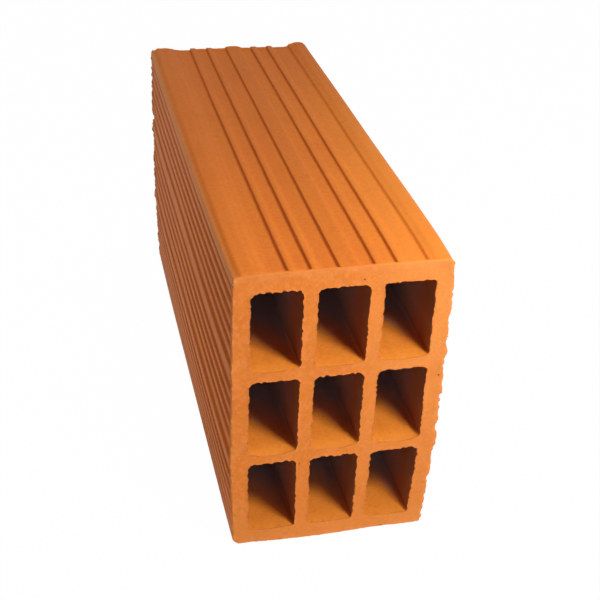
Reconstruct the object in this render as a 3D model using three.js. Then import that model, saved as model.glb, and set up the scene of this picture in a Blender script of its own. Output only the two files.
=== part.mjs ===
// Horizontally perforated clay brick with nine holes, for partition walls.
// Clay is pushed through a die as one endless bar, cut to length by a wire and fired.
// All sizes are millimetres. X runs across the brick, Y along its length and its holes, Z up.
// The brick stands on its lower bed face: Z = 0 is the plane of that face's two corner pads,
// and X = 0, Y = 0 is the middle of the brick.

import * as THREE from "three";

// Overall size, over the corner pads and the crests of the side ribs
const brickWidth = 100;
const brickHeight = 150;
const brickLength = 290;
const cornerRadius = 4.5;

// Grid of holes that run from end to end
const holeColumns = 3;
const holeRows = 3;
const sideWall = 8.5;
const topWall = 10;
const bottomWall = 8;
const uprightWeb = 6.7;
const levelWeb = 7;
const holeCornerRadius = 1.5;

// The two tall sides: ribs and grooves that key mortar and plaster.
// Rib crests are level with the corner pads. Grooves are measured between the feet of the flanks.
const sideRecess = 1.2;
const sideFlank = 1.2;
const sidePadCrest = 5.5;
const sideRibCrest = 2.6;
const wideSideRibCrest = 5;
const middleSideGroove = 3.4;
const wideSideGroove = 6.4;
const secondSideGroove = 4.6;
const outerSideGroove = 2.7;

// The two bed faces, above and below: five low ridges between two higher corner pads
const bedRecess = 2.4;
const bedPadCrest = 7.7;
const bedPadFlank = 2.2;
const bedRidgeHeight = 1.5;
const bedRidgeFlank = 0.7;
const bedRidgeCrest = 2.6;
const centreRidgeCrest = 7.6;
const innerBedGroove = 7.8;
const outerBedGroove = 6.1;

// Least groove that the die leaves between the last rib and a corner pad
const leastGroove = 1.5;

// Facets on the curved stretches
const flankSteps = 3;
const arcSegments = 2;

// A rib is { start, flank, crest, height }: start is where its foot begins, measured along the
// face outward from the middle. This walks outward over the wanted ribs and keeps those that
// end before the corner pad.
function ribsOutward(firstStart, wanted, limit) {
  const ribs = [];
  let start = firstStart;
  for (const rib of wanted) {
    start += rib.groove;
    const end = start + 2 * rib.flank + rib.crest;
    if (end + leastGroove > limit) {
      break;
    }
    ribs.push({ ...rib, start });
    start = end;
  }
  return ribs;
}

// Adds the points of one flank, a half cosine from one level to another, after its first point
function addFlank(points, length, endDepth) {
  const [startAlong, startDepth] = points[points.length - 1];
  for (let step = 1; step <= flankSteps; step += 1) {
    const part = step / flankSteps;
    const blend = (1 - Math.cos(Math.PI * part)) / 2;
    const along = startAlong + length * part;
    points.push([along, startDepth + (endDepth - startDepth) * blend]);
  }
}

// Half of a ribbed face from its middle to the inner edge of the corner pad's crest,
// as points [distance along the face, depth below the pad plane]
function halfFace({ padEdge, padFlank, recess, centreCrest, centreHeight, centreFlank, ribs }) {
  const points = [];
  if (centreCrest > 0) {
    points.push([centreCrest / 2, recess - centreHeight]);
    addFlank(points, centreFlank, recess);
  }
  for (const rib of ribs) {
    points.push([rib.start, recess]);
    addFlank(points, rib.flank, recess - rib.height);
    points.push([rib.start + rib.flank + rib.crest, recess - rib.height]);
    addFlank(points, rib.flank, recess);
  }
  points.push([padEdge - padFlank, recess]);
  addFlank(points, padFlank, 0);
  return points;
}

// The whole face, from one corner pad to the other
function wholeFace(half) {
  const mirrored = half.map(([along, depth]) => [-along, depth]).reverse();
  return [...mirrored, ...half];
}

function sideFace() {
  const padEdge = brickHeight / 2 - cornerRadius - sidePadCrest;
  const limit = padEdge - sideFlank;
  const narrow = { flank: sideFlank, crest: sideRibCrest, height: sideRecess };
  const wide = { ...narrow, crest: wideSideRibCrest };
  const wanted = [
    { ...narrow, groove: middleSideGroove / 2 },
    { ...narrow, groove: middleSideGroove },
    { ...wide, groove: wideSideGroove },
    { ...narrow, groove: secondSideGroove },
  ];
  const outerPitch = outerSideGroove + 2 * sideFlank + sideRibCrest;
  for (let filled = outerPitch; filled < limit; filled += outerPitch) {
    wanted.push({ ...narrow, groove: outerSideGroove });
  }
  const ribs = ribsOutward(0, wanted, limit);
  return wholeFace(halfFace({ padEdge, padFlank: sideFlank, recess: sideRecess, centreCrest: 0, ribs }));
}

function bedFace() {
  const padEdge = brickWidth / 2 - cornerRadius - bedPadCrest;
  const ridge = { flank: bedRidgeFlank, crest: bedRidgeCrest, height: bedRidgeHeight };
  const wanted = [
    { ...ridge, groove: innerBedGroove },
    { ...ridge, groove: outerBedGroove },
  ];
  const ribs = ribsOutward(centreRidgeCrest / 2 + bedRidgeFlank, wanted, padEdge - bedPadFlank);
  return wholeFace(halfFace({
    padEdge,
    padFlank: bedPadFlank,
    recess: bedRecess,
    centreCrest: centreRidgeCrest,
    centreHeight: bedRidgeHeight,
    centreFlank: bedRidgeFlank,
    ribs,
  }));
}

// Outline of the section, anticlockwise about the middle of the brick: each face is followed
// by the rounded corner that turns into the next one
function outline() {
  const bed = bedFace();
  const side = sideFace();
  const shape = new THREE.Shape();
  let started = false;
  for (let quarter = 0; quarter < 4; quarter += 1) {
    const onBed = quarter % 2 === 0;
    const outAngle = (quarter - 1) * Math.PI / 2;
    const out = new THREE.Vector2(Math.round(Math.cos(outAngle)), Math.round(Math.sin(outAngle)));
    const along = new THREE.Vector2(-out.y, out.x);
    const halfAlong = (onBed ? brickWidth : brickHeight) / 2;
    const halfOut = (onBed ? brickHeight : brickWidth) / 2;
    for (const [distance, depth] of onBed ? bed : side) {
      const x = along.x * distance + out.x * (halfOut - depth);
      const y = along.y * distance + out.y * (halfOut - depth);
      if (started) {
        shape.lineTo(x, y);
      } else {
        shape.moveTo(x, y);
        started = true;
      }
    }
    const centre = along.clone().multiplyScalar(halfAlong - cornerRadius);
    centre.addScaledVector(out, halfOut - cornerRadius);
    shape.absarc(centre.x, centre.y, cornerRadius, outAngle, outAngle + Math.PI / 2);
  }
  return shape;
}

// One hole: a rectangle with rounded corners
function hole(centreX, centreY, width, height) {
  const radius = Math.min(holeCornerRadius, width / 3, height / 3);
  const path = new THREE.Path();
  for (let quarter = 0; quarter < 4; quarter += 1) {
    const angle = quarter * Math.PI / 2;
    const sideX = quarter === 0 || quarter === 3 ? 1 : -1;
    const sideY = quarter < 2 ? 1 : -1;
    const x = centreX + sideX * (width / 2 - radius);
    const y = centreY + sideY * (height / 2 - radius);
    path.absarc(x, y, radius, angle, angle + Math.PI / 2);
  }
  return path;
}

// The holes share what the walls and webs leave of the width and height
function holes() {
  const width = (brickWidth - 2 * sideWall - (holeColumns - 1) * uprightWeb) / holeColumns;
  const height = (brickHeight - topWall - bottomWall - (holeRows - 1) * levelWeb) / holeRows;
  const paths = [];
  for (let row = 0; row < holeRows; row += 1) {
    for (let column = 0; column < holeColumns; column += 1) {
      const x = -brickWidth / 2 + sideWall + width / 2 + column * (width + uprightWeb);
      const y = -brickHeight / 2 + bottomWall + height / 2 + row * (height + levelWeb);
      paths.push(hole(x, y, width, height));
    }
  }
  return paths;
}

// The bar that leaves the die, cut to length, with its section stood up in the XZ plane
function brickGeometry() {
  const section = outline();
  section.holes = holes();
  const geometry = new THREE.ExtrudeGeometry(section, {
    depth: brickLength,
    bevelEnabled: false,
    curveSegments: arcSegments,
  });
  geometry.rotateX(Math.PI / 2);
  geometry.translate(0, brickLength / 2, brickHeight / 2);
  return geometry;
}

const firedClay = new THREE.MeshStandardMaterial({
  color: 0xd9742f,
  roughness: 0.9,
  metalness: 0,
});

const brick = new THREE.Mesh(brickGeometry(), firedClay);
brick.name = "brick";

const model = new THREE.Group();
model.add(brick);

export default model;
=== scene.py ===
import math

import bpy
from mathutils import Matrix, Vector, noise
from mathutils.geometry import delaunay_2d_cdt


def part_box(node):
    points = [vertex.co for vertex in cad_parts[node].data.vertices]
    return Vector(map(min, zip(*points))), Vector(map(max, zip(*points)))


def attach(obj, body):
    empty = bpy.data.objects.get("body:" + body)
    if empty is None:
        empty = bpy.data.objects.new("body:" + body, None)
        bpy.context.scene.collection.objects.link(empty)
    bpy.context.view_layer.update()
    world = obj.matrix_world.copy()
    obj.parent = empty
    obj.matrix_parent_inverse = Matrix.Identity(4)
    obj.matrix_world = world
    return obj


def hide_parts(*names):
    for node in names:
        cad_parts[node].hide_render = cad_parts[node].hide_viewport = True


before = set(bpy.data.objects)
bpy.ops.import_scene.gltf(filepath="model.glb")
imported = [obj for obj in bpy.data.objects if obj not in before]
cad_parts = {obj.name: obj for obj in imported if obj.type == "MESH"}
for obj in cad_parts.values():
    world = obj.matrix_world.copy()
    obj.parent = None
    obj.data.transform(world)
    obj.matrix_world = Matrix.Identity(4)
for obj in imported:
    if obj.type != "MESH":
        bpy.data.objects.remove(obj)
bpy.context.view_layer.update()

# ---------------------------------------------------------------------------
# Brick body: a hollow brick for partition walls, one piece of red clay with nine holes. It is
# pushed through a die as a long bar, cut to length by a wire, dried and fired.
# ---------------------------------------------------------------------------

mm = 0.001
low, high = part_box("brick")
half_width = (high.x - low.x) / 2
half_length = (high.y - low.y) / 2
half_height = (high.z - low.z) / 2

# The die gives the section: square holes, ribs on the tall sides that key plaster, and bed
# faces with five low ridges between higher corner pads.
corner_radius = 4.5 * mm
foot_corner_radius = 4 * mm
arris_dent = 0.5 * mm
arris_dent_at = math.radians(29)
arris_dent_reach = math.radians(29)
arris_painted_sheen = 1.6

side_recess = 1.2 * mm
side_flank = 1.2 * mm
side_pad_crest = 5.5 * mm
side_rib_crest = 2.6 * mm
wide_side_rib_crest = 5 * mm
side_grooves = (1.7 * mm, 3.4 * mm, 6.4 * mm, 4.6 * mm, 2.7 * mm, 2.7 * mm, 2.7 * mm)
wide_side_rib = 2
wide_side_rib_rise = 0.3 * mm
corner_groove = ((67.6 * mm, 0), (68.7 * mm, 0.7 * mm), (69.6 * mm, 0.7 * mm), (70.4 * mm, 0))

bed_recess = 2.4 * mm
bed_ridge_height = 1.5 * mm
steep_flank = 0.7 * mm
gentle_flank = 2.6 * mm
plain_ridges = ((0, 3.8 * mm), (13 * mm, 15.6 * mm), (23.1 * mm, 25.7 * mm))
plain_pad_rise = ((35.6 * mm, bed_recess), (37.8 * mm, 0))
left_ridges = ((0, 1.9 * mm), (12.6 * mm, 14.3 * mm), (22.9 * mm, 24.7 * mm))
left_pad_rise = (
    (31 * mm, bed_recess),
    (33.5 * mm, 2.0 * mm),
    (37.5 * mm, 0.6 * mm),
    (41 * mm, 0),
    (43.5 * mm, 0.06 * mm),
)
right_ridges = ((0, 5.5 * mm), (14 * mm, 15.9 * mm), (24 * mm, 25.9 * mm))
right_pad_rise = ((37.1 * mm, bed_recess), (38.6 * mm, 1.0 * mm), (42.5 * mm, 0))

hole_columns = 3
hole_rows = 3
side_wall = 8.5 * mm
top_wall = 10 * mm
bottom_wall = 8 * mm
upright_web = 6.7 * mm
level_web = 7 * mm
hole_corner_radius = 1.5 * mm

skin_spacing = 1.1 * mm
bore_spacing = 0.65 * mm
flank_steps = 5
corner_steps = 12
hole_corner_steps = 5


def ease(part):
    """0 to 1 with a soft start and end."""
    part = max(0.0, min(1.0, part))
    return part * part * (3 - 2 * part)


def side_knots():
    """Half of a tall side as (distance from its middle, depth below the crests)."""
    knots = [(0, side_recess)]
    along = 0
    for number, groove in enumerate(side_grooves):
        wide = number == wide_side_rib
        crest = wide_side_rib_crest if wide else side_rib_crest
        crest_depth = -wide_side_rib_rise if wide else 0
        foot = along + groove
        knots.append((foot, side_recess))
        knots.append((foot + side_flank, crest_depth))
        knots.append((foot + side_flank + crest, crest_depth))
        along = foot + 2 * side_flank + crest
        knots.append((along, side_recess))
    pad_edge = half_height - corner_radius - side_pad_crest
    knots.append((pad_edge - side_flank, side_recess))
    knots.append((pad_edge, 0))
    knots += corner_groove
    return knots


def bed_knots(ridges, inner_flank, outer_flank, pad_rise):
    """Half of a bed face, in the same form; its ridges stay lower than its pads. A ridge is
    (start, end) of its crest, and the first one is half of the middle ridge."""
    crest_depth = bed_recess - bed_ridge_height
    knots = []
    for start, end in ridges:
        if start > 0:
            knots.append((start - inner_flank, bed_recess))
        knots.append((start, crest_depth))
        knots.append((end, crest_depth))
        knots.append((end + outer_flank, bed_recess))
    return knots + list(pad_rise)


def whole_face(first, second, start_along, end_along):
    """A face from corner to corner, from the knots of its two halves, each outward from the
    middle: close points as (distance, depth), flanks half cosines."""
    knots = [(start_along, 0)] + [(-along, depth) for along, depth in reversed(first)]
    knots += second + [(end_along, 0)]
    points = [knots[0]]
    for (start, depth), (end, next_depth) in zip(knots, knots[1:]):
        if start == end:
            continue
        steps = max(1, round((end - start) / skin_spacing))
        if depth != next_depth:
            steps = max(steps, flank_steps)
        for step in range(1, steps + 1):
            part = step / steps
            blend = (1 - math.cos(math.pi * part)) / 2
            points.append((start + (end - start) * part, depth + (next_depth - depth) * blend))
    return points


def distance_to_crest(points, place):
    """How far a place of a face is from the nearest crest."""
    crest_depth = 1 * mm
    return min(abs(along - place) for along, depth in points if depth < crest_depth)


class SkinPoint:
    """A point of the outline: its place in the section and the way out, how deep it lies below
    the crests or the square corner, how far it is from the nearest crest, and how much painted
    sheen it has."""

    def __init__(self, x, z, out_x, out_z, depth, gap=0.0, painted_sheen=0.0):
        self.x, self.z = x, z
        self.out_x, self.out_z = out_x, out_z
        self.depth = depth
        self.gap = gap
        self.painted_sheen = painted_sheen


def outline():
    """The outline anticlockwise, seen from the front: lower bed, right side, upper bed, left
    side. The corner after the upper bed is a little dented, with a pale painted sheen below the
    dent."""
    plain_bed = bed_knots(plain_ridges, steep_flank, steep_flank, plain_pad_rise)
    upper_right = bed_knots(right_ridges, steep_flank, gentle_flank, right_pad_rise)
    upper_left = bed_knots(left_ridges, gentle_flank, steep_flank, left_pad_rise)
    turns = (
        (plain_bed, plain_bed, foot_corner_radius),
        (side_knots(), side_knots(), corner_radius),
        (upper_right, upper_left, corner_radius),
        (side_knots(), side_knots(), foot_corner_radius),
    )
    points = []
    for quarter, (first, second, next_radius) in enumerate(turns):
        angle = (quarter - 1) * math.pi / 2
        out = Vector((round(math.cos(angle)), round(math.sin(angle))))
        along = Vector((-out.y, out.x))
        half_along = half_height if quarter % 2 else half_width
        half_out = half_width if quarter % 2 else half_height
        last_radius = turns[quarter - 1][2]
        face = whole_face(first, second, last_radius - half_along, half_along - next_radius)
        for distance, depth in face:
            place = along * distance + out * (half_out - depth)
            gap = distance_to_crest(face, distance)
            points.append(SkinPoint(place.x, place.y + half_height, out.x, out.y, depth, gap))
        centre = along * (half_along - next_radius) + out * (half_out - next_radius)
        for step in range(1, corner_steps):
            lean = math.pi / 2 * step / corner_steps
            radial = Vector((math.cos(angle + lean), math.sin(angle + lean)))
            depth = next_radius * (1 / max(abs(radial.x), abs(radial.y)) - 1)
            dent = painted_sheen = 0.0
            if quarter == 2:
                dent = arris_dent * ease(1 - abs(lean - arris_dent_at) / arris_dent_reach)
                # Painted sheen: below the dent the arris gets a pale colour for the grazing
                # highlight on it.
                painted_sheen = arris_painted_sheen * ease((lean - arris_dent_at) / arris_dent_reach)
            place = centre + radial * (next_radius - dent)
            points.append(SkinPoint(
                place.x, place.y + half_height, radial.x, radial.y, depth, painted_sheen=painted_sheen))
    return points


class Hole:
    """One hole of the grid: where it is, and its rim as points with the way into the clay."""

    def __init__(self, column, row):
        room = 2 * half_width - 2 * side_wall - (hole_columns - 1) * upright_web
        self.width = room / hole_columns
        room = 2 * half_height - top_wall - bottom_wall - (hole_rows - 1) * level_web
        self.height = room / hole_rows
        self.row = row
        self.x = -half_width + side_wall + self.width / 2 + column * (self.width + upright_web)
        self.z = bottom_wall + self.height / 2 + row * (self.height + level_web)
        self.reach_x = self.width / 2 - hole_corner_radius
        self.reach_z = self.height / 2 - hole_corner_radius

    def nearest(self, x, z):
        """Distance from the hole's wall, and the nearest point of the wall with its way out."""
        core_x = max(-self.reach_x, min(self.reach_x, x - self.x))
        core_z = max(-self.reach_z, min(self.reach_z, z - self.z))
        away = Vector((x - self.x - core_x, z - self.z - core_z))
        distance = away.length
        if distance > 0:
            away /= distance
        rim_x = self.x + core_x + away.x * hole_corner_radius
        rim_z = self.z + core_z + away.y * hole_corner_radius
        return distance - hole_corner_radius, rim_x, rim_z, away.x, away.y

    def rim(self):
        """The rim anticlockwise from the right of its lower edge."""
        points = []
        for quarter in range(4):
            start = quarter * math.pi / 2
            side_x = 1 if quarter in (0, 3) else -1
            side_z = 1 if quarter < 2 else -1
            for step in range(hole_corner_steps + 1):
                turn = start + math.pi / 2 * step / hole_corner_steps
                out_x, out_z = math.cos(turn), math.sin(turn)
                x = self.x + side_x * self.reach_x + out_x * hole_corner_radius
                z = self.z + side_z * self.reach_z + out_z * hole_corner_radius
                points.append((x, z, out_x, out_z))
            flat = 2 * (self.reach_x if quarter % 2 == 0 else self.reach_z)
            steps = round(flat / bore_spacing)
            x, z, out_x, out_z = points[-1]
            way_x, way_z = -math.sin(turn), math.cos(turn)
            for step in range(1, steps):
                run = flat * step / steps
                points.append((x + way_x * run, z + way_z * run, out_x, out_z))
        return points


# Wet clay moves a little before it is fired: the skin waves, and the wire that cuts the bar
# tears the upper edges of the holes and drags the lower ones into shallow arcs. Each edge
# reads its noise in a lane of its own, so that no two edges are torn alike.
skin_wave = 0.25 * mm
bore_wave = 0.3 * mm
wave_across = 28 * mm
wave_along = 90 * mm
coarse_tear = 1.7
fine_tear = 0.5
fine_tear_scale = 2.7


def fade(distance, reach):
    """1 at the cut, falling to 0 at the reach."""
    left = max(0.0, 1 - distance / reach)
    return left * left


def wavy(x, y, z, across, along, seed):
    """Smooth noise between about -1 and 1, stretched along the brick."""
    return noise.noise(Vector((x / across + seed, y / along, z / across - seed)))


def cusped(x, lane, z, width, seed):
    """Shallow arcs that meet in small teeth, as torn clay does: 0 at a tooth, up to about 1."""
    x, y, z = x / width, lane / width, z / width
    coarse = abs(noise.noise(Vector((x + seed, y, z))))
    fine = abs(noise.noise(Vector((x * fine_tear_scale, y + seed, z * fine_tear_scale))))
    return min(1.0, coarse_tear * coarse + fine_tear * fine)


tear_above = 1.0 * mm
tear_beside = 0.5 * mm
tear_below = 0.125 * mm
tear_width = 3.6 * mm
tear_reach = 1.8 * mm
tear_lane = 40 * mm
even_tear = 0.15
middle_tear = 0.35
corner_tear = 0.1
corner_tear_room = 3.5 * mm
tooth_depth = 0.7 * mm
tooth_width = 1.9 * mm
tooth_reach = 1.3 * mm
tooth_lane = 20 * mm
middle_tooth = 0.4
floor_tooth = 0.4
corner_tooth = 0.2
corner_tooth_room = 2 * mm
corner_fill = 0.3 * mm
corner_fill_room = 2.6 * mm
corner_fill_ends = 36 * mm
rim_sag = (0.4 * mm, 2.1 * mm, 1.1 * mm)
sag_reach = 9 * mm
lip_height = 0.35 * mm
lip_reach = 0.5 * mm


def rim_offset(hole, x, z, out_x, out_z, depth, end):
    """How far the wire's cut moved the wall of a hole into the clay, at a depth from the cut:
    teeth all round, larger tears above, upper corners that fill most on the left, and below
    a sagging edge with a low lip behind it."""
    room = hole.width / 2 - abs(x - hole.x)
    torn = cusped(x, end * tear_lane, z, tear_width, hole.row + 3 * end)
    reach = fade(depth, tear_reach)
    upward = max(0.0, out_z) * min(1.0, corner_tear + room / corner_tear_room)
    moved = tear_above * upward * (torn + even_tear) * reach
    moved += tear_beside * abs(out_x) * (torn - middle_tear) * reach

    tooth = cusped(x, end * tooth_lane, z, tooth_width, 31.0 + hole.row) - middle_tooth
    if out_z > 0.5:
        tooth *= min(1.0, corner_tooth + room / corner_tooth_room)
    else:
        tooth *= min(1.0, 1 + floor_tooth + out_z)
    moved += tooth_depth * tooth * fade(depth, tooth_reach)

    corner = max(2 * abs(out_x), 1 - room / corner_fill_room) * max(0.0, out_z)
    fill = corner_fill * (1 - hole.x / corner_fill_ends)
    moved -= fill * corner * fade(depth, sag_reach)
    if out_z < -0.5:
        part = (x - hole.x) / (hole.width / 2)
        sag = rim_sag[hole.row] * max(0.0, 1 - part * part)
        lip = lip_height * (1 - fade(depth, lip_reach)) * fade(depth, sag_reach)
        moved += -out_z * (sag * fade(depth, sag_reach) + lip + tear_below * torn * reach)
    return moved


# The wire also leaves a burr along the outline of the cut. It closes the grooves there, rises
# over the upper bed in a low crown, and is ragged and bumpy on the sides.
corner_burr = 0.45
front_right_burr = 1.72
back_side_burr = 2.12
burr_lost_by_width = 0.4 / mm
back_ridge_burr = 0.6
back_pad_burr = 0.25
back_ridge_zone = 24 * mm
burr_unevenness = 0.2
burr_unevenness_width = 9 * mm


def burr_share(point, end):
    """How much of a groove the burr closes: all of it around the front, save on the right side.
    There and on the sides of the back it closes the narrow grooves most, and it closes those
    of the back's beds in part. It also fills the upper left corner of both cuts, and the lower
    right corner of the front."""
    if point.out_x and point.out_z:
        corner = point.out_x * point.out_z < 0 and (end < 0 or point.out_z > 0)
        return corner_burr if corner else 0.0
    if end < 0:
        right = point.out_x > 0.5
        share = front_right_burr - burr_lost_by_width * point.gap if right else 1.0
    elif point.out_x:
        share = back_side_burr - burr_lost_by_width * point.gap
    else:
        share = back_ridge_burr if abs(point.x) < back_ridge_zone else back_pad_burr
    if share < 1.0:
        uneven = wavy(point.x, end, point.z, burr_unevenness_width, 1.0, 21.0)
        share += burr_unevenness * uneven
    return max(0.0, min(1.0, share))


crown_middle = 2 * mm
front_crown = 0.3 * mm
front_crown_reach = 60 * mm
front_ripple = 0.3 * mm
front_ripple_width = 5 * mm
back_crown = 0.6 * mm
back_crown_reach = 6 * mm
pad_crown = 0.75 * mm
pad_crown_from = 35 * mm
pad_crown_rise = 4 * mm
pad_crown_to = 50 * mm
pad_crown_fall = 6 * mm


def burr_crown(x, end):
    """How far the burr rises over the upper bed: rippled all along the front, and at the back
    over the middle ridge and the right pad."""
    if end < 0:
        crown = front_crown * max(0.0, 1 - ((x - crown_middle) / front_crown_reach) ** 2)
        return crown + front_ripple * wavy(x, 0, 0, front_ripple_width, 1.0, 41.0)
    crown = back_crown * max(0.0, 1 - ((x - crown_middle) / back_crown_reach) ** 2)
    rise = ease((x - pad_crown_from) / pad_crown_rise)
    return crown + pad_crown * rise * ease((pad_crown_to - x) / pad_crown_fall)


burr_tooth = 1.0 * mm
burr_tooth_width = 4.5 * mm
burr_tooth_lane = 70 * mm
middle_burr_tooth = 0.55
front_right_bumps = (
    (118 * mm, -0.7 * mm, 5 * mm),
    (100 * mm, 0.5 * mm, 5 * mm),
    (91.5 * mm, -0.4 * mm, 4 * mm),
    (79 * mm, 0.4 * mm, 3 * mm),
    (59 * mm, -0.6 * mm, 4 * mm),
    (44 * mm, -0.5 * mm, 5 * mm),
    (17 * mm, 0.3 * mm, 6 * mm),
)
back_left_bumps = (
    (104 * mm, -0.6 * mm, 6 * mm),
    (95 * mm, 0.6 * mm, 4 * mm),
    (87 * mm, -0.7 * mm, 5 * mm),
    (53 * mm, -0.4 * mm, 4 * mm),
    (30 * mm, -0.5 * mm, 9 * mm),
)


def burr_bumps(point, end):
    """The bumps, hollows and teeth of the burr on the right of the front and on the left of
    the back. A bump is (height of its middle, how far it stands out, how far it reaches)."""
    if end < 0 and point.out_x > 0.5:
        bumps = front_right_bumps
    elif end > 0 and point.out_x < -0.5:
        bumps = back_left_bumps
    else:
        return 0.0
    torn = cusped(point.x, end * burr_tooth_lane, point.z, burr_tooth_width, 53.0)
    moved = burr_tooth * (middle_burr_tooth - torn)
    for z, height, reach in bumps:
        moved += height * ease(1 - abs(point.z - z) / reach)
    return moved


burr_flat = 0.9 * mm
burr_reach = 2.3 * mm
burr_reach_on_sides = 1.1
burr_reach_wave = 0.5
burr_reach_wave_width = 7 * mm


def burr_offset(point, end, depth):
    """How far the burr stands above the groove or the pads, at a depth from the cut."""
    on_bed = abs(point.out_z) > 0.5
    reach = burr_reach
    if not on_bed:
        wave = wavy(0, 0, point.z, burr_reach_wave_width, 1.0, 33.0)
        reach *= burr_reach_on_sides + burr_reach_wave * wave
    level = bed_recess - bed_ridge_height if on_bed and end > 0 else 0.0
    moved = max(0.0, point.depth - level) * burr_share(point, end) + burr_bumps(point, end)
    if point.out_z > 0.5:
        moved += burr_crown(point.x, end)
    return moved * ease((reach - depth) / (reach - burr_flat))


back_wear = 0.3
back_wear_from = 20 * mm
back_wear_run = 180 * mm
foot_wear = 0.55
foot_wear_height = 40 * mm
foot_wear_fade = 25 * mm
unworn_by_cut = 4 * mm


def rib_wear(point, y):
    """How much of a groove the left side has lost: its ribs were smeared by the foot, and get
    shallower towards the back. The burr takes over by the cuts."""
    if point.out_x > -0.5 or point.out_z:
        return 0.0
    along = back_wear * ease((y + half_length - back_wear_from) / back_wear_run)
    foot = foot_wear * ease((foot_wear_height - point.z) / foot_wear_fade)
    clear = min(1.0, (half_length - abs(y)) / unworn_by_cut)
    return (along + foot * (1 - along)) * clear


edge_round = 0.15 * mm
edge_nibble = 0.25 * mm
edge_nibble_lane = 30 * mm
edge_tooth = 0.25 * mm
edge_tooth_on_sides = 2.4
edge_tooth_lane = 50 * mm
edge_reach = 0.9 * mm


def skin_offset(point, y):
    """How far the skin lies outside the die's section there."""
    depth = half_length - abs(y)
    end = 1 if y > 0 else -1
    moved = skin_wave * wavy(point.x, y, point.z, wave_across, wave_along, 5.0)
    nibble = cusped(point.x, end * edge_nibble_lane, point.z, tear_width, 9.0 + end)
    tooth = cusped(point.x, end * edge_tooth_lane, point.z, tooth_width, 17.0 + end)
    tooth *= edge_tooth * (1 + edge_tooth_on_sides * abs(point.out_x))
    moved -= (edge_round + edge_nibble * nibble + tooth) * fade(depth, edge_reach)
    moved += point.depth * rib_wear(point, y)
    return moved + burr_offset(point, end, depth)


def bore_offset(hole, x, z, out_x, out_z, y):
    """How far a hole's wall lies from the die's core there, into the clay."""
    depth = half_length - abs(y)
    end = 1 if y > 0 else -1
    moved = bore_wave * wavy(x, y, z, wave_across, wave_along, 11.0 + hole.x / mm)
    return moved * (1 - fade(depth, sag_reach)) + rim_offset(hole, x, z, out_x, out_z, depth, end)


left_foot_height = 50 * mm
left_foot_taper = 1.6 * mm
left_swell = 1.05 * mm
left_swell_at_cuts = -0.3 * mm
left_swell_lost_at_foot = 0.6
left_spread = 0.15 * mm
right_foot_height = 62 * mm
right_foot_taper = 2.8 * mm
right_swell = 1.1 * mm
front_squeeze = 0.8 * mm
squeeze_reach = 35 * mm
top_squeeze = 5
top_squeeze_from = 131.25 * mm
foot_lean = 0.9 * mm
right_foot_lean = 1.0 * mm
foot_bulge = 1.5 * mm
foot_bulge_at = -9 * mm
foot_bulge_width = 31 * mm
foot_bulge_height = 14 * mm
least_height = 0.05 * mm


def settle(x, y, z):
    """The whole bar's own shape: its foot dries narrower, its sides swell a little between the
    cuts, the front cut leans out towards its foot, and its pads lie flat where it dried."""
    if x > 0:
        foot = ease(1 - z / right_foot_height)
        squeeze = front_squeeze * (1 + top_squeeze * ease((z - top_squeeze_from) / half_height))
        swell = right_swell - squeeze * fade(half_length + y, squeeze_reach)
        grown = swell * (1 - foot) - right_foot_taper * foot
    else:
        foot = ease(1 - z / left_foot_height)
        swell = left_swell * (1 - (y / half_length) ** 4) + left_swell_at_cuts
        swell += left_spread * max(0.0, y / half_length)
        grown = swell * (1 - left_swell_lost_at_foot * foot) - left_foot_taper * foot
    lower_half = max(0.0, 1 - z / half_height)
    lean = foot_lean * lower_half
    lean += right_foot_lean * max(0.0, x / half_width) * min(1.0, 2 * lower_half)
    bulge = max(0.0, 1 - ((x - foot_bulge_at) / foot_bulge_width) ** 2)
    lean += foot_bulge * bulge * fade(z, foot_bulge_height)
    lean *= 0.5 - y / (2 * half_length)
    return (x * (1 + grown / half_width), y - lean, max(z, least_height))


face_wave = 0.22 * mm
face_wave_width = 17 * mm
face_wave_lane = 3.0
drag_relief = 0.05 * mm
drag_width = 1.6 * mm
drag_length = 14 * mm
drag_lane = 5.0


def cut_relief(x, z, end):
    """Relief of the cut, outward: slow waves and the wire's fine drag lines."""
    wave = Vector((x / face_wave_width, end * face_wave_lane, z / face_wave_width))
    drag = Vector((x / drag_width, end * drag_lane, z / drag_length))
    return face_wave * noise.noise(wave) + drag_relief * noise.noise(drag)


# The mesh: rings of points along the skin and along each hole, close together by the cuts,
# and a flat net of triangles over each cut that shares their first and last rings.
def stations(near, spacing):
    """Places along the brick: close together at both cuts, then at an even spacing."""
    start = [-half_length + step for step in near]
    inner = half_length - near[-1]
    count = round(2 * inner / spacing)
    middle = [-inner + 2 * inner * step / count for step in range(1, count)]
    return start + middle + [-y for y in reversed(start)]


near_cut_skin = [step * mm for step in (0, 0.35, 0.9, 1.3, 1.7, 2.3, 3.2, 5, 9, 15, 24)]
near_cut_bore = [step * mm for step in (0, 0.3, 0.7, 1.2, 1.9, 3, 4.5, 6.5, 9, 13)]
skin_stations = stations(near_cut_skin, 14 * mm)
bore_stations = stations(near_cut_bore, 34 * mm)

skin, cut, bore = 0, 1, 2
verts = []
faces = []
face_zones = []
edge_wear_and_sheen = []
painted_shade_from = []
painted_light = []


def add_vertex(x, y, z, edge_mark, painted_lit, shade_from=0.0):
    """Adds a point of the mesh, with its edge wear and painted sheen, how much painted light
    brightens it, and how deep in its hole the painted shade starts. Returns its number."""
    verts.append(settle(x, y, z))
    edge_wear_and_sheen.append(edge_mark)
    painted_light.append(painted_lit)
    painted_shade_from.append(shade_from)
    return len(verts) - 1


def add_rings(rings, inward, zone):
    """Skins rings of points; inward turns the faces towards the middle of a hole."""
    for ring, next_ring in zip(rings, rings[1:]):
        count = len(ring)
        for i in range(count):
            j = (i + 1) % count
            quad = (ring[i], ring[j], next_ring[j], next_ring[i])
            faces.append(quad if inward else quad[::-1])
            face_zones.append(zone)


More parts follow.
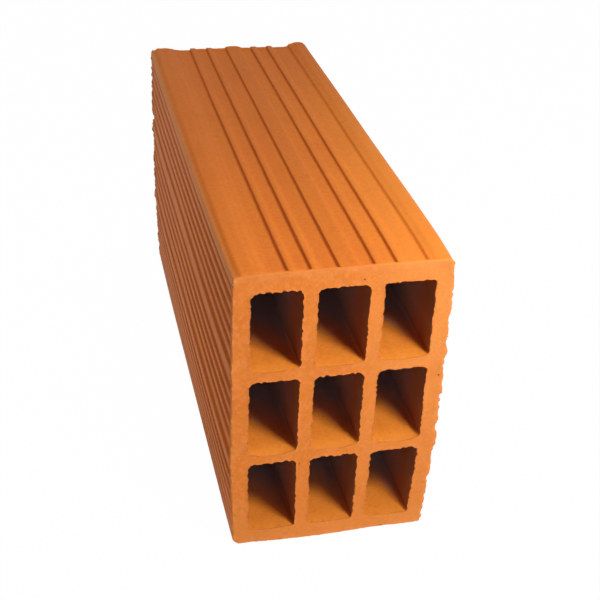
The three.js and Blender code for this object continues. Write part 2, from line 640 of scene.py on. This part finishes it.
# Painted light: the outside is paler and brighter where the lamps light it more, on the front's
# right and along the front's foot.
right_painted_light_from = -5 * mm
right_painted_light_run = 50 * mm
right_painted_light_back = 150 * mm
right_painted_light_fade = 200 * mm
foot_painted_light = 0.7
foot_painted_light_height = 34 * mm
foot_painted_light_depth = 40 * mm


def painted_light_at(x, y, z):
    """How much painted light brightens the outside: most at the front's right, and a little
    along the front's foot."""
    right = ease((x - right_painted_light_from) / right_painted_light_run)
    right *= ease((right_painted_light_back - y) / right_painted_light_fade)
    foot = ease(1 - z / foot_painted_light_height) * ease(1 - (y + half_length) / foot_painted_light_depth)
    return max(right, foot_painted_light * foot)


skin_points = outline()
skin_edge_wear = 0.6
skin_wear_reach = 1.5 * mm

skin_rings = []
for y in skin_stations:
    edge_mark = skin_edge_wear * fade(half_length - abs(y), skin_wear_reach)
    ring = []
    for point in skin_points:
        moved = skin_offset(point, y)
        x = point.x + point.out_x * moved
        z = point.z + point.out_z * moved
        ring.append(add_vertex(x, y, z, max(edge_mark, point.painted_sheen), painted_light_at(x, y, z)))
    skin_rings.append(ring)
add_rings(skin_rings, False, skin)


# How far down the way into the clay points where the floor starts, and where it is level.
steepest_floor = 0.3
level_floor = 0.9
# Painted shade in the holes: a grey starts at one depth on walls and ceiling, and on the floors
# along the edge of the key lamp's shadow, no deeper than a limit for each row.
wall_painted_shade_from = 12 * mm
floor_painted_shade_from = 1 * mm
floor_painted_shade_slope = 1.8
floor_painted_shade_spread = 60 * mm
floor_painted_shade_limit = 22 * mm
floor_painted_shade_limit_step = 6 * mm


def floor_share(out_z):
    """1 on the floor of a hole, 0 on its walls and ceiling."""
    return ease((-out_z - steepest_floor) / (level_floor - steepest_floor))


def painted_shade_depth(hole, x, out_z):
    """How deep in a hole the painted shade starts: soon on walls and ceiling, and on the floor
    further in towards the left, along the edge of the key lamp's shadow."""
    slope = floor_painted_shade_slope + hole.x / floor_painted_shade_spread
    floor = slope * (hole.x + hole.width / 2 - x) + floor_painted_shade_from
    floor = min(floor, floor_painted_shade_limit + floor_painted_shade_limit_step * hole.row)
    return wall_painted_shade_from + (floor - wall_painted_shade_from) * floor_share(out_z)


holes = [Hole(column, row) for row in range(hole_rows) for column in range(hole_columns)]
rims = [hole.rim() for hole in holes]
bore_edge_wear = 0.1
bore_wear_reach = 1.5 * mm

bore_rings = []
for hole, rim in zip(holes, rims):
    rings = []
    for y in bore_stations:
        edge_mark = bore_edge_wear * fade(half_length - abs(y), bore_wear_reach)
        ring = []
        for x, z, out_x, out_z in rim:
            moved = bore_offset(hole, x, z, out_x, out_z, y)
            # Where the painted shade starts in this hole.
            shade_from = painted_shade_depth(hole, x, out_z)
            # The floor takes the bore's painted-lit colour; walls and ceiling keep its darker
            # painted-shade colour.
            painted_lit = floor_share(out_z)
            ring.append(add_vertex(x + out_x * moved, y, z + out_z * moved, edge_mark, painted_lit, shade_from))
        rings.append(ring)
    add_rings(rings, True, bore)
    bore_rings.append(rings)

face_spacing = 1.25 * mm
face_margin = 0.7 * mm
face_nudge = 0.25 * mm
face_nudge_width = 1.8 * mm
rim_follow = 2.6 * mm
rim_wear = 0.3
rim_wear_reach = 1.6 * mm


def inside_clay(x, z):
    """Whether a point of the section is in the clay, clear of every edge."""
    if abs(x) > half_width - side_recess - face_margin:
        return False
    if not bed_recess + face_margin < z < 2 * half_height - bed_recess - face_margin:
        return False
    return all(hole.nearest(x, z)[0] > face_margin for hole in holes)


def face_points():
    """Points inside the cut: rows half a step apart, each nudged off its grid."""
    points = []
    row_step = face_spacing * math.sqrt(3) / 2
    rows = int(2 * half_height / row_step)
    columns = int(2 * half_width / face_spacing)
    for row in range(rows):
        for column in range(columns):
            x = -half_width + (column + 0.5 * (row % 2)) * face_spacing
            z = row * row_step
            place = Vector((x, 0, z)) / face_nudge_width
            x += face_nudge * noise.noise(place + Vector((0, 0.5, 0)))
            z += face_nudge * noise.noise(place + Vector((0, 7.5, 0)))
            if inside_clay(x, z):
                points.append((x, z))
    return points


def cut_section():
    """The section as triangles: its points inside, and for each triangle its corner numbers,
    which first run through the outline, then through each rim, then through those points."""
    loops = [[(point.x, point.z) for point in skin_points]]
    loops += [[(x, z) for x, z, out_x, out_z in rim] for rim in rims]
    places = []
    walls = []
    for number, loop in enumerate(loops):
        wall = list(range(len(places), len(places) + len(loop)))
        walls.append(wall if number == 0 else wall[::-1])
        places += loop
    inner = face_points()
    coords = [Vector(place) for place in places + inner]
    keep_inside = 2
    weld = 0.0001 * mm
    net = delaunay_2d_cdt(coords, [], walls, keep_inside, weld)
    net_triangles, net_origins = net[2], net[3]
    source = [origins[0] for origins in net_origins]
    triangles = [[source[corner] for corner in triangle] for triangle in net_triangles]
    return inner, triangles


inner_points, triangles = cut_section()
for end, ring_number in ((-1, 0), (1, -1)):
    corners = list(skin_rings[ring_number])
    for rings in bore_rings:
        corners += rings[ring_number]
    for x, z in inner_points:
        move_x = move_z = 0.0
        edge_mark = 0.0
        for hole in holes:
            distance, rim_x, rim_z, out_x, out_z = hole.nearest(x, z)
            if distance < rim_follow:
                follow = fade(distance, rim_follow)
                moved = rim_offset(hole, rim_x, rim_z, out_x, out_z, 0, end) * follow
                move_x += out_x * moved
                move_z += out_z * moved
                edge_mark = max(edge_mark, rim_wear * fade(distance, rim_wear_reach))
        lift = cut_relief(x, z, end)
        y = end * (half_length - face_wave + lift)
        corners.append(add_vertex(x + move_x, y, z + move_z, edge_mark, painted_light_at(x, y, z)))
    for triangle in triangles:
        numbers = [corners[corner] for corner in triangle]
        faces.append(numbers if end == -1 else numbers[::-1])
        face_zones.append(cut)

mesh = bpy.data.meshes.new("brick_body")
mesh.from_pydata(verts, [], faces)
mesh.validate()
marks = {"edge_wear_and_sheen": edge_wear_and_sheen, "painted_shade_from": painted_shade_from, "painted_light": painted_light}
for name, values in marks.items():
    mesh.attributes.new(name, "FLOAT", "POINT").data.foreach_set("value", values)
mesh.polygons.foreach_set("material_index", face_zones)
mesh.polygons.foreach_set("use_smooth", [True] * len(mesh.polygons))
brick_body = bpy.data.objects.new("brick_body", mesh)
bpy.context.scene.collection.objects.link(brick_body)

# The cut meets the skin and the bores in a crisp edge.
cut_edge_angle = math.radians(50)
mesh.set_sharp_from_angle(angle=cut_edge_angle)


# Fired clay: orange earthenware, unglazed and dull. Skin and holes were polished by the die
# and carry its faint drag lines; the cuts are paler, open and speckled.
def srgb(red, green, blue):
    """A colour as a painter reads it, 0 to 255, as the shader's linear values."""
    linear = []
    for value in (red, green, blue):
        value /= 255
        linear.append(value / 12.92 if value <= 0.04045 else ((value + 0.055) / 1.055) ** 2.4)
    return (*linear, 1.0)


skin_colour = srgb(222, 120, 34)
skin_dark = srgb(205, 103, 28)
skin_pale = srgb(230, 134, 44)
skin_fleck = srgb(212, 102, 42)
# Painted light: the paler colour of the outside where the lamps light it more.
skin_painted_lit = srgb(247, 143, 50)
cut_colour = srgb(224, 126, 42)
cut_dark = srgb(214, 110, 32)
cut_pale = srgb(240, 152, 72)
cut_fleck = srgb(240, 138, 72)
cut_painted_lit = srgb(234, 146, 66)
# Painted shade: the darker colour of the holes' walls and ceilings, against the painted-lit
# floors.
bore_painted_shade = srgb(158, 98, 66)
bore_dark = srgb(196, 98, 30)
bore_pale = srgb(226, 126, 46)
bore_fleck = srgb(212, 110, 40)
# Painted light: the brighter colour of the hole floors, which the key lamp lights.
bore_painted_lit = srgb(255, 152, 54)
# Painted shade: the grey of the holes' deep shade.
bore_painted_shade_grey = srgb(182, 168, 171)
# Chalk of worn edges, and the pale painted sheen on the upper left arris.
chalk_and_sheen_colour = srgb(242, 170, 110)
pit_colour = srgb(120, 50, 24)


def add_sockets(group, inputs, outputs):
    """Gives a node group its named sockets; an input is (name, type, default)."""
    for name, kind, default in inputs:
        socket = group.interface.new_socket(name, in_out="INPUT", socket_type=kind)
        socket.default_value = default
    for name, kind in outputs:
        group.interface.new_socket(name, in_out="OUTPUT", socket_type=kind)


def add_node(tree, kind, **settings):
    """A node with its own settings and, by input name or number, its input values."""
    node = tree.nodes.new(kind)
    for name, value in settings.pop("inputs", {}).items():
        node.inputs[name].default_value = value
    for name, value in settings.items():
        setattr(node, name, value)
    return node


def add_ramp(tree, factor, start, end):
    """A mask that is 0 up to start and 1 from end."""
    node = add_node(tree, "ShaderNodeMapRange", inputs={"From Min": start, "From Max": end})
    tree.links.new(factor, node.inputs["Value"])
    return node.outputs["Result"]


def add_mix(tree, factor, first, second):
    """A colour between first and second; each may be a socket or a colour."""
    node = add_node(tree, "ShaderNodeMix", data_type="RGBA")
    for value, socket in ((factor, 0), (first, 6), (second, 7)):
        if isinstance(value, bpy.types.NodeSocket):
            tree.links.new(value, node.inputs[socket])
        else:
            node.inputs[socket].default_value = value
    return node.outputs[2]


def add_math(tree, operation, first, second):
    """The result of an operation; each of its two terms may be a socket or a number."""
    node = add_node(tree, "ShaderNodeMath", operation=operation)
    for value, socket in ((first, 0), (second, 1)):
        if isinstance(value, bpy.types.NodeSocket):
            tree.links.new(value, node.inputs[socket])
        else:
            node.inputs[socket].default_value = value
    return node.outputs[0]


def add_noise(tree, vector, scale, detail=2.0, roughness=0.5):
    """Noise between about 0.2 and 0.8."""
    values = {"Scale": scale, "Detail": detail, "Roughness": roughness}
    node = add_node(tree, "ShaderNodeTexNoise", inputs=values)
    tree.links.new(vector, node.inputs["Vector"])
    return node.outputs["Fac"]


def make_tone_group():
    """Slow colour changes of fired clay: darker clouds, paler patches and small flecks, each
    over the last."""
    group = bpy.data.node_groups.new("clay_tone", "ShaderNodeTree")
    add_sockets(
        group,
        [
            ("Vector", "NodeSocketVector", (0, 0, 0)),
            ("Colour", "NodeSocketColor", skin_colour),
            ("Dark", "NodeSocketColor", skin_dark),
            ("Pale", "NodeSocketColor", skin_pale),
            ("Fleck", "NodeSocketColor", skin_fleck),
            ("Amount", "NodeSocketFloat", 1.0),
        ],
        [("Colour", "NodeSocketColor")],
    )
    given = group.nodes.new("NodeGroupInput")
    result = group.nodes.new("NodeGroupOutput")
    toned = given.outputs["Colour"]
    layers = (("Dark", 38.0, 4.0, 0.5, 0.75), ("Pale", 150.0, 3.0, 0.52, 0.8),
              ("Fleck", 480.0, 2.0, 0.45, 0.65))
    for name, scale, detail, start, end in layers:
        pattern = add_noise(group, given.outputs["Vector"], scale, detail, roughness=0.6)
        mask = add_ramp(group, pattern, start, end)
        mask = add_math(group, "MULTIPLY", mask, given.outputs["Amount"])
        toned = add_mix(group, mask, toned, given.outputs[name])
    group.links.new(toned, result.inputs["Colour"])
    return group


def make_grain_group():
    """Fine grain of the clay: a height for bump, the grain alone, and a mask of small open
    pits, which lie in clusters."""
    group = bpy.data.node_groups.new("clay_grain", "ShaderNodeTree")
    add_sockets(
        group,
        [
            ("Vector", "NodeSocketVector", (0, 0, 0)),
            ("Grain Scale", "NodeSocketFloat", 900.0),
            ("Pit Scale", "NodeSocketFloat", 170.0),
            ("Pit Size", "NodeSocketFloat", 0.12),
        ],
        [("Height", "NodeSocketFloat"), ("Grain", "NodeSocketFloat"), ("Pits", "NodeSocketFloat")],
    )
    given = group.nodes.new("NodeGroupInput")
    result = group.nodes.new("NodeGroupOutput")
    fine = add_node(group, "ShaderNodeTexNoise", inputs={"Detail": 3.0, "Roughness": 0.65})
    group.links.new(given.outputs["Vector"], fine.inputs["Vector"])
    group.links.new(given.outputs["Grain Scale"], fine.inputs["Scale"])
    cells = add_node(group, "ShaderNodeTexVoronoi")
    group.links.new(given.outputs["Vector"], cells.inputs["Vector"])
    group.links.new(given.outputs["Pit Scale"], cells.inputs["Scale"])
    clusters = add_noise(group, given.outputs["Vector"], scale=60.0, detail=1.0)
    pitted = add_ramp(group, clusters, start=0.55, end=0.75)
    size = add_math(group, "MULTIPLY", pitted, given.outputs["Pit Size"])
    inside = add_math(group, "SUBTRACT", size, cells.outputs["Distance"])
    pits = add_ramp(group, inside, start=0.0, end=0.04)
    sunk = add_math(group, "MULTIPLY", pits, -1.0)
    height = add_math(group, "ADD", fine.outputs["Fac"], sunk)
    group.links.new(height, result.inputs["Height"])
    group.links.new(fine.outputs["Fac"], result.inputs["Grain"])
    group.links.new(pits, result.inputs["Pits"])
    return group


def make_streak_group():
    """Drag lines that the die leaves along the bar: a colour mask and a height."""
    group = bpy.data.node_groups.new("die_streaks", "ShaderNodeTree")
    add_sockets(
        group,
        [
            ("Vector", "NodeSocketVector", (0, 0, 0)),
            ("Across Scale", "NodeSocketFloat", 260.0),
            ("Along Scale", "NodeSocketFloat", 5.0),
        ],
        [("Mask", "NodeSocketFloat"), ("Height", "NodeSocketFloat")],
    )
    given = group.nodes.new("NodeGroupInput")
    result = group.nodes.new("NodeGroupOutput")
    stretch = group.nodes.new("ShaderNodeCombineXYZ")
    group.links.new(given.outputs["Across Scale"], stretch.inputs["X"])
    group.links.new(given.outputs["Along Scale"], stretch.inputs["Y"])
    group.links.new(given.outputs["Across Scale"], stretch.inputs["Z"])
    scaled = add_node(group, "ShaderNodeVectorMath", operation="MULTIPLY")
    group.links.new(given.outputs["Vector"], scaled.inputs[0])
    group.links.new(stretch.outputs["Vector"], scaled.inputs[1])
    lines = add_noise(group, scaled.outputs["Vector"], scale=1.0, detail=3.0, roughness=0.6)
    group.links.new(add_ramp(group, lines, start=0.5, end=0.85), result.inputs["Mask"])
    group.links.new(lines, result.inputs["Height"])
    return group


clay_tone = make_tone_group()
clay_grain = make_grain_group()
die_streaks = make_streak_group()

clay_ior = 1.25
smooth_grain = 0.45
rough_grain = 0.72
bump_strength = 0.6
chalk_and_sheen_share = 0.5
painted_shade_reach = 32 * mm


def place_group(tree, group, vector, **values):
    """Places a node group and sets its named inputs."""
    node = add_node(tree, "ShaderNodeGroup", node_tree=group)
    tree.links.new(vector, node.inputs["Vector"])
    for name, value in values.items():
        node.inputs[name.replace("_", " ")].default_value = value
    return node


def make_clay(
        name, colours, tone_amount, pit_size, grain_shade, streak_shade, bump_depth,
        calm_by_painted_light=0.0, paints_shade=False):
    """Fired clay with its own colours, pits, grain and drag lines. Painted light may brighten it
    and calm its mottling, worn edges show chalky grains, a pale painted sheen runs along the
    upper left arris, and deep in the holes painted shade may turn it grey."""
    material = bpy.data.materials.new(name)
    material.use_nodes = True
    tree = material.node_tree
    shader = tree.nodes["Principled BSDF"]
    shader.inputs["IOR"].default_value = clay_ior
    vector = tree.nodes.new("ShaderNodeTexCoord").outputs["Object"]
    colour, dark, pale, fleck, painted_lit = colours
    # Painted light: brightens the colour and calms the mottling where it is marked.
    painted_lit_mark = add_node(tree, "ShaderNodeAttribute", attribute_name="painted_light")
    calm_range = {"To Min": 1.0, "To Max": 1.0 - calm_by_painted_light}
    calmed = add_node(tree, "ShaderNodeMapRange", inputs=calm_range)
    tree.links.new(painted_lit_mark.outputs["Fac"], calmed.inputs["Value"])
    calm = calmed.outputs["Result"]
    tone = place_group(tree, clay_tone, vector, Dark=dark, Pale=pale, Fleck=fleck)
    tree.links.new(add_math(tree, "MULTIPLY", calm, tone_amount), tone.inputs["Amount"])
    tree.links.new(add_mix(tree, painted_lit_mark.outputs["Fac"], colour, painted_lit), tone.inputs["Colour"])
    grain = place_group(tree, clay_grain, vector, Pit_Size=pit_size)
    streaks = place_group(tree, die_streaks, vector)

    streak_mask = add_math(tree, "MULTIPLY", streaks.outputs["Mask"], streak_shade)
    streaked = add_mix(tree, streak_mask, tone.outputs["Colour"], pale)
    grain_share = add_math(tree, "MULTIPLY", calm, grain_shade)
    grain_ramp = add_ramp(tree, grain.outputs["Grain"], start=0.35, end=0.75)
    grain_mask = add_math(tree, "MULTIPLY", grain_ramp, grain_share)
    grained = add_mix(tree, grain_mask, streaked, dark)
    pitted = add_mix(tree, grain.outputs["Pits"], grained, pit_colour)
    # Chalky grains on worn edges, and painted sheen on the upper left arris.
    edge_mark = add_node(tree, "ShaderNodeAttribute", attribute_name="edge_wear_and_sheen")
    wear_and_sheen_mask = add_math(tree, "MULTIPLY", edge_mark.outputs["Fac"], grain.outputs["Grain"])
    wear_and_sheen_mask = add_math(tree, "MULTIPLY", wear_and_sheen_mask, chalk_and_sheen_share)
    worn_and_painted = add_mix(tree, wear_and_sheen_mask, pitted, chalk_and_sheen_colour)
    # Painted shade: past its start in a hole, the colour turns to the painted-shade grey.
    if paints_shade:
        painted_shade_start = add_node(tree, "ShaderNodeAttribute", attribute_name="painted_shade_from")
        place = tree.nodes.new("ShaderNodeSeparateXYZ")
        tree.links.new(vector, place.inputs["Vector"])
        from_middle = add_math(tree, "ABSOLUTE", place.outputs["Y"], 0.0)
        depth = add_math(tree, "SUBTRACT", half_length, from_middle)
        past = add_math(tree, "SUBTRACT", depth, painted_shade_start.outputs["Fac"])
        worn_and_painted = add_mix(tree, add_ramp(tree, past, 0.0, painted_shade_reach), worn_and_painted, bore_painted_shade_grey)
    tree.links.new(worn_and_painted, shader.inputs["Base Color"])

    grain_range = {"To Min": smooth_grain, "To Max": rough_grain}
    rough = add_node(tree, "ShaderNodeMapRange", inputs=grain_range)
    tree.links.new(grain.outputs["Grain"], rough.inputs["Value"])
    tree.links.new(rough.outputs["Result"], shader.inputs["Roughness"])

    streak_height = add_math(tree, "MULTIPLY", streaks.outputs["Height"], streak_shade)
    height = add_math(tree, "ADD", grain.outputs["Height"], streak_height)
    relief = {"Strength": bump_strength, "Distance": bump_depth}
    bump = add_node(tree, "ShaderNodeBump", inputs=relief)
    tree.links.new(height, bump.inputs["Height"])
    tree.links.new(bump.outputs["Normal"], shader.inputs["Normal"])
    return material


die_skin = make_clay(
    "die_skin_clay", (skin_colour, skin_dark, skin_pale, skin_fleck, skin_painted_lit),
    tone_amount=0.5, pit_size=0.1, grain_shade=0.25, streak_shade=0.5, bump_depth=0.15 * mm,
    calm_by_painted_light=0.75,
)
wire_cut = make_clay(
    "wire_cut_clay", (cut_colour, cut_dark, cut_pale, cut_fleck, cut_painted_lit),
    tone_amount=0.65, pit_size=0.16, grain_shade=0.35, streak_shade=0.0, bump_depth=0.25 * mm,
)
bore_wall = make_clay(
    "bore_wall_clay", (bore_painted_shade, bore_dark, bore_pale, bore_fleck, bore_painted_lit),
    tone_amount=0.2, pit_size=0.1, grain_shade=0.08, streak_shade=0.3, bump_depth=0.15 * mm,
    paints_shade=True,
)
for material in (die_skin, wire_cut, bore_wall):
    mesh.materials.append(material)

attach(brick_body, "root")
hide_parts("brick")

# ---------------------------------------------------------------------------
# Studio: a wide white table in white air, lit by four lamps. The table looks white all over,
# and still throws back on the brick only the light that falls on it, shade included.
# ---------------------------------------------------------------------------

table_reach = 4.0
table_grey = (0.8, 0.8, 0.8, 1)
table_roughness = 0.9
table_glow_share = 0.99
air_white = (1, 1, 1, 1)


def add_seen(tree):
    """A mask of the rays that see a surface at once, in a mirror or through glass."""
    path = tree.nodes.new("ShaderNodeLightPath")
    seen = add_math(tree, "MAXIMUM", path.outputs["Is Camera Ray"], path.outputs["Is Glossy Ray"])
    return add_math(tree, "MAXIMUM", seen, path.outputs["Is Transmission Ray"])


table_mesh = bpy.data.meshes.new("table_top")
table_corners = [(x * table_reach, y * table_reach, 0)
                 for x, y in ((-1, -1), (1, -1), (1, 1), (-1, 1))]
table_mesh.from_pydata(table_corners, [], [(0, 1, 2, 3)])
table_top = bpy.data.objects.new("table_top", table_mesh)
bpy.context.scene.collection.objects.link(table_top)

table_white = bpy.data.materials.new("table_white")
table_white.use_nodes = True
table_tree = table_white.node_tree
table_shader = table_tree.nodes["Principled BSDF"]
table_shader.inputs["Base Color"].default_value = table_grey
table_shader.inputs["Roughness"].default_value = table_roughness
paper_glow = add_node(table_tree, "ShaderNodeEmission", inputs={"Strength": 1.0})
glow_mask = add_math(table_tree, "MULTIPLY", add_seen(table_tree), table_glow_share)
table_mix = table_tree.nodes.new("ShaderNodeMixShader")
table_surface = table_tree.nodes["Material Output"].inputs["Surface"]
table_tree.links.new(glow_mask, table_mix.inputs[0])
table_tree.links.new(table_shader.outputs["BSDF"], table_mix.inputs[1])
table_tree.links.new(paper_glow.outputs["Emission"], table_mix.inputs[2])
table_tree.links.new(table_mix.outputs["Shader"], table_surface)
table_mesh.materials.append(table_white)

world = bpy.data.worlds.new("studio_air")
bpy.context.scene.world = world
world.use_nodes = True
air = world.node_tree.nodes["Background"]
air.inputs["Color"].default_value = air_white
world.node_tree.links.new(add_seen(world.node_tree), air.inputs["Strength"])


def add_softbox(name, place, target, size, power):
    """A square lamp that faces a target, with its side in metres and its power in watts."""
    lamp = bpy.data.lights.new(name, "AREA")
    lamp.size = size
    lamp.energy = power
    softbox = bpy.data.objects.new(name, lamp)
    softbox.location = place
    softbox.rotation_euler = (Vector(target) - Vector(place)).to_track_quat("-Z", "Y").to_euler()
    bpy.context.scene.collection.objects.link(softbox)


add_softbox("key_lamp", (0.120, -0.327, 0.350), (0, -0.145, 0.075), 0.085, 0.96)
add_softbox("overhead_lamp", (0.1, 0.1, 1.2), (0, 0, half_height), 1.0, 5.65)
add_softbox("left_lamp", (-0.50, 0, 0.16), (-0.05, 0, 0.1), 0.25, 0.44)
add_softbox("front_lamp", (0.06, -0.45, 0.04), (0, -0.145, 0.03), 0.12, 0.33)

# ---------------------------------------------------------------------------
# Camera: a short telephoto, held by hand a little above and to the left of the brick's front
# end, and rolled by a few degrees.
# ---------------------------------------------------------------------------

camera_place = Vector((-122.5, -543.9, 386.2)) * mm
turned_right = math.radians(14.42)
tilted_down = math.radians(31.29)
rolled = math.radians(2.63)
film_width = 36
focal_length = 67.5

camera_data = bpy.data.cameras.new("camera")
camera_data.sensor_width = film_width
camera_data.lens = focal_length
camera = bpy.data.objects.new("camera", camera_data)
forward = Vector((
    math.sin(turned_right) * math.cos(tilted_down),
    math.cos(turned_right) * math.cos(tilted_down),
    -math.sin(tilted_down),
))
level = Vector((math.cos(turned_right), -math.sin(turned_right), 0))
upright = level.cross(forward)
right = level * math.cos(rolled) + upright * math.sin(rolled)
up = upright * math.cos(rolled) - level * math.sin(rolled)
turned = Matrix((right, up, -forward)).transposed().to_4x4()
camera.matrix_world = Matrix.Translation(camera_place) @ turned
bpy.context.scene.collection.objects.link(camera)
bpy.context.scene.camera = camera
bpy.context.scene.view_settings.view_transform = "Standard"
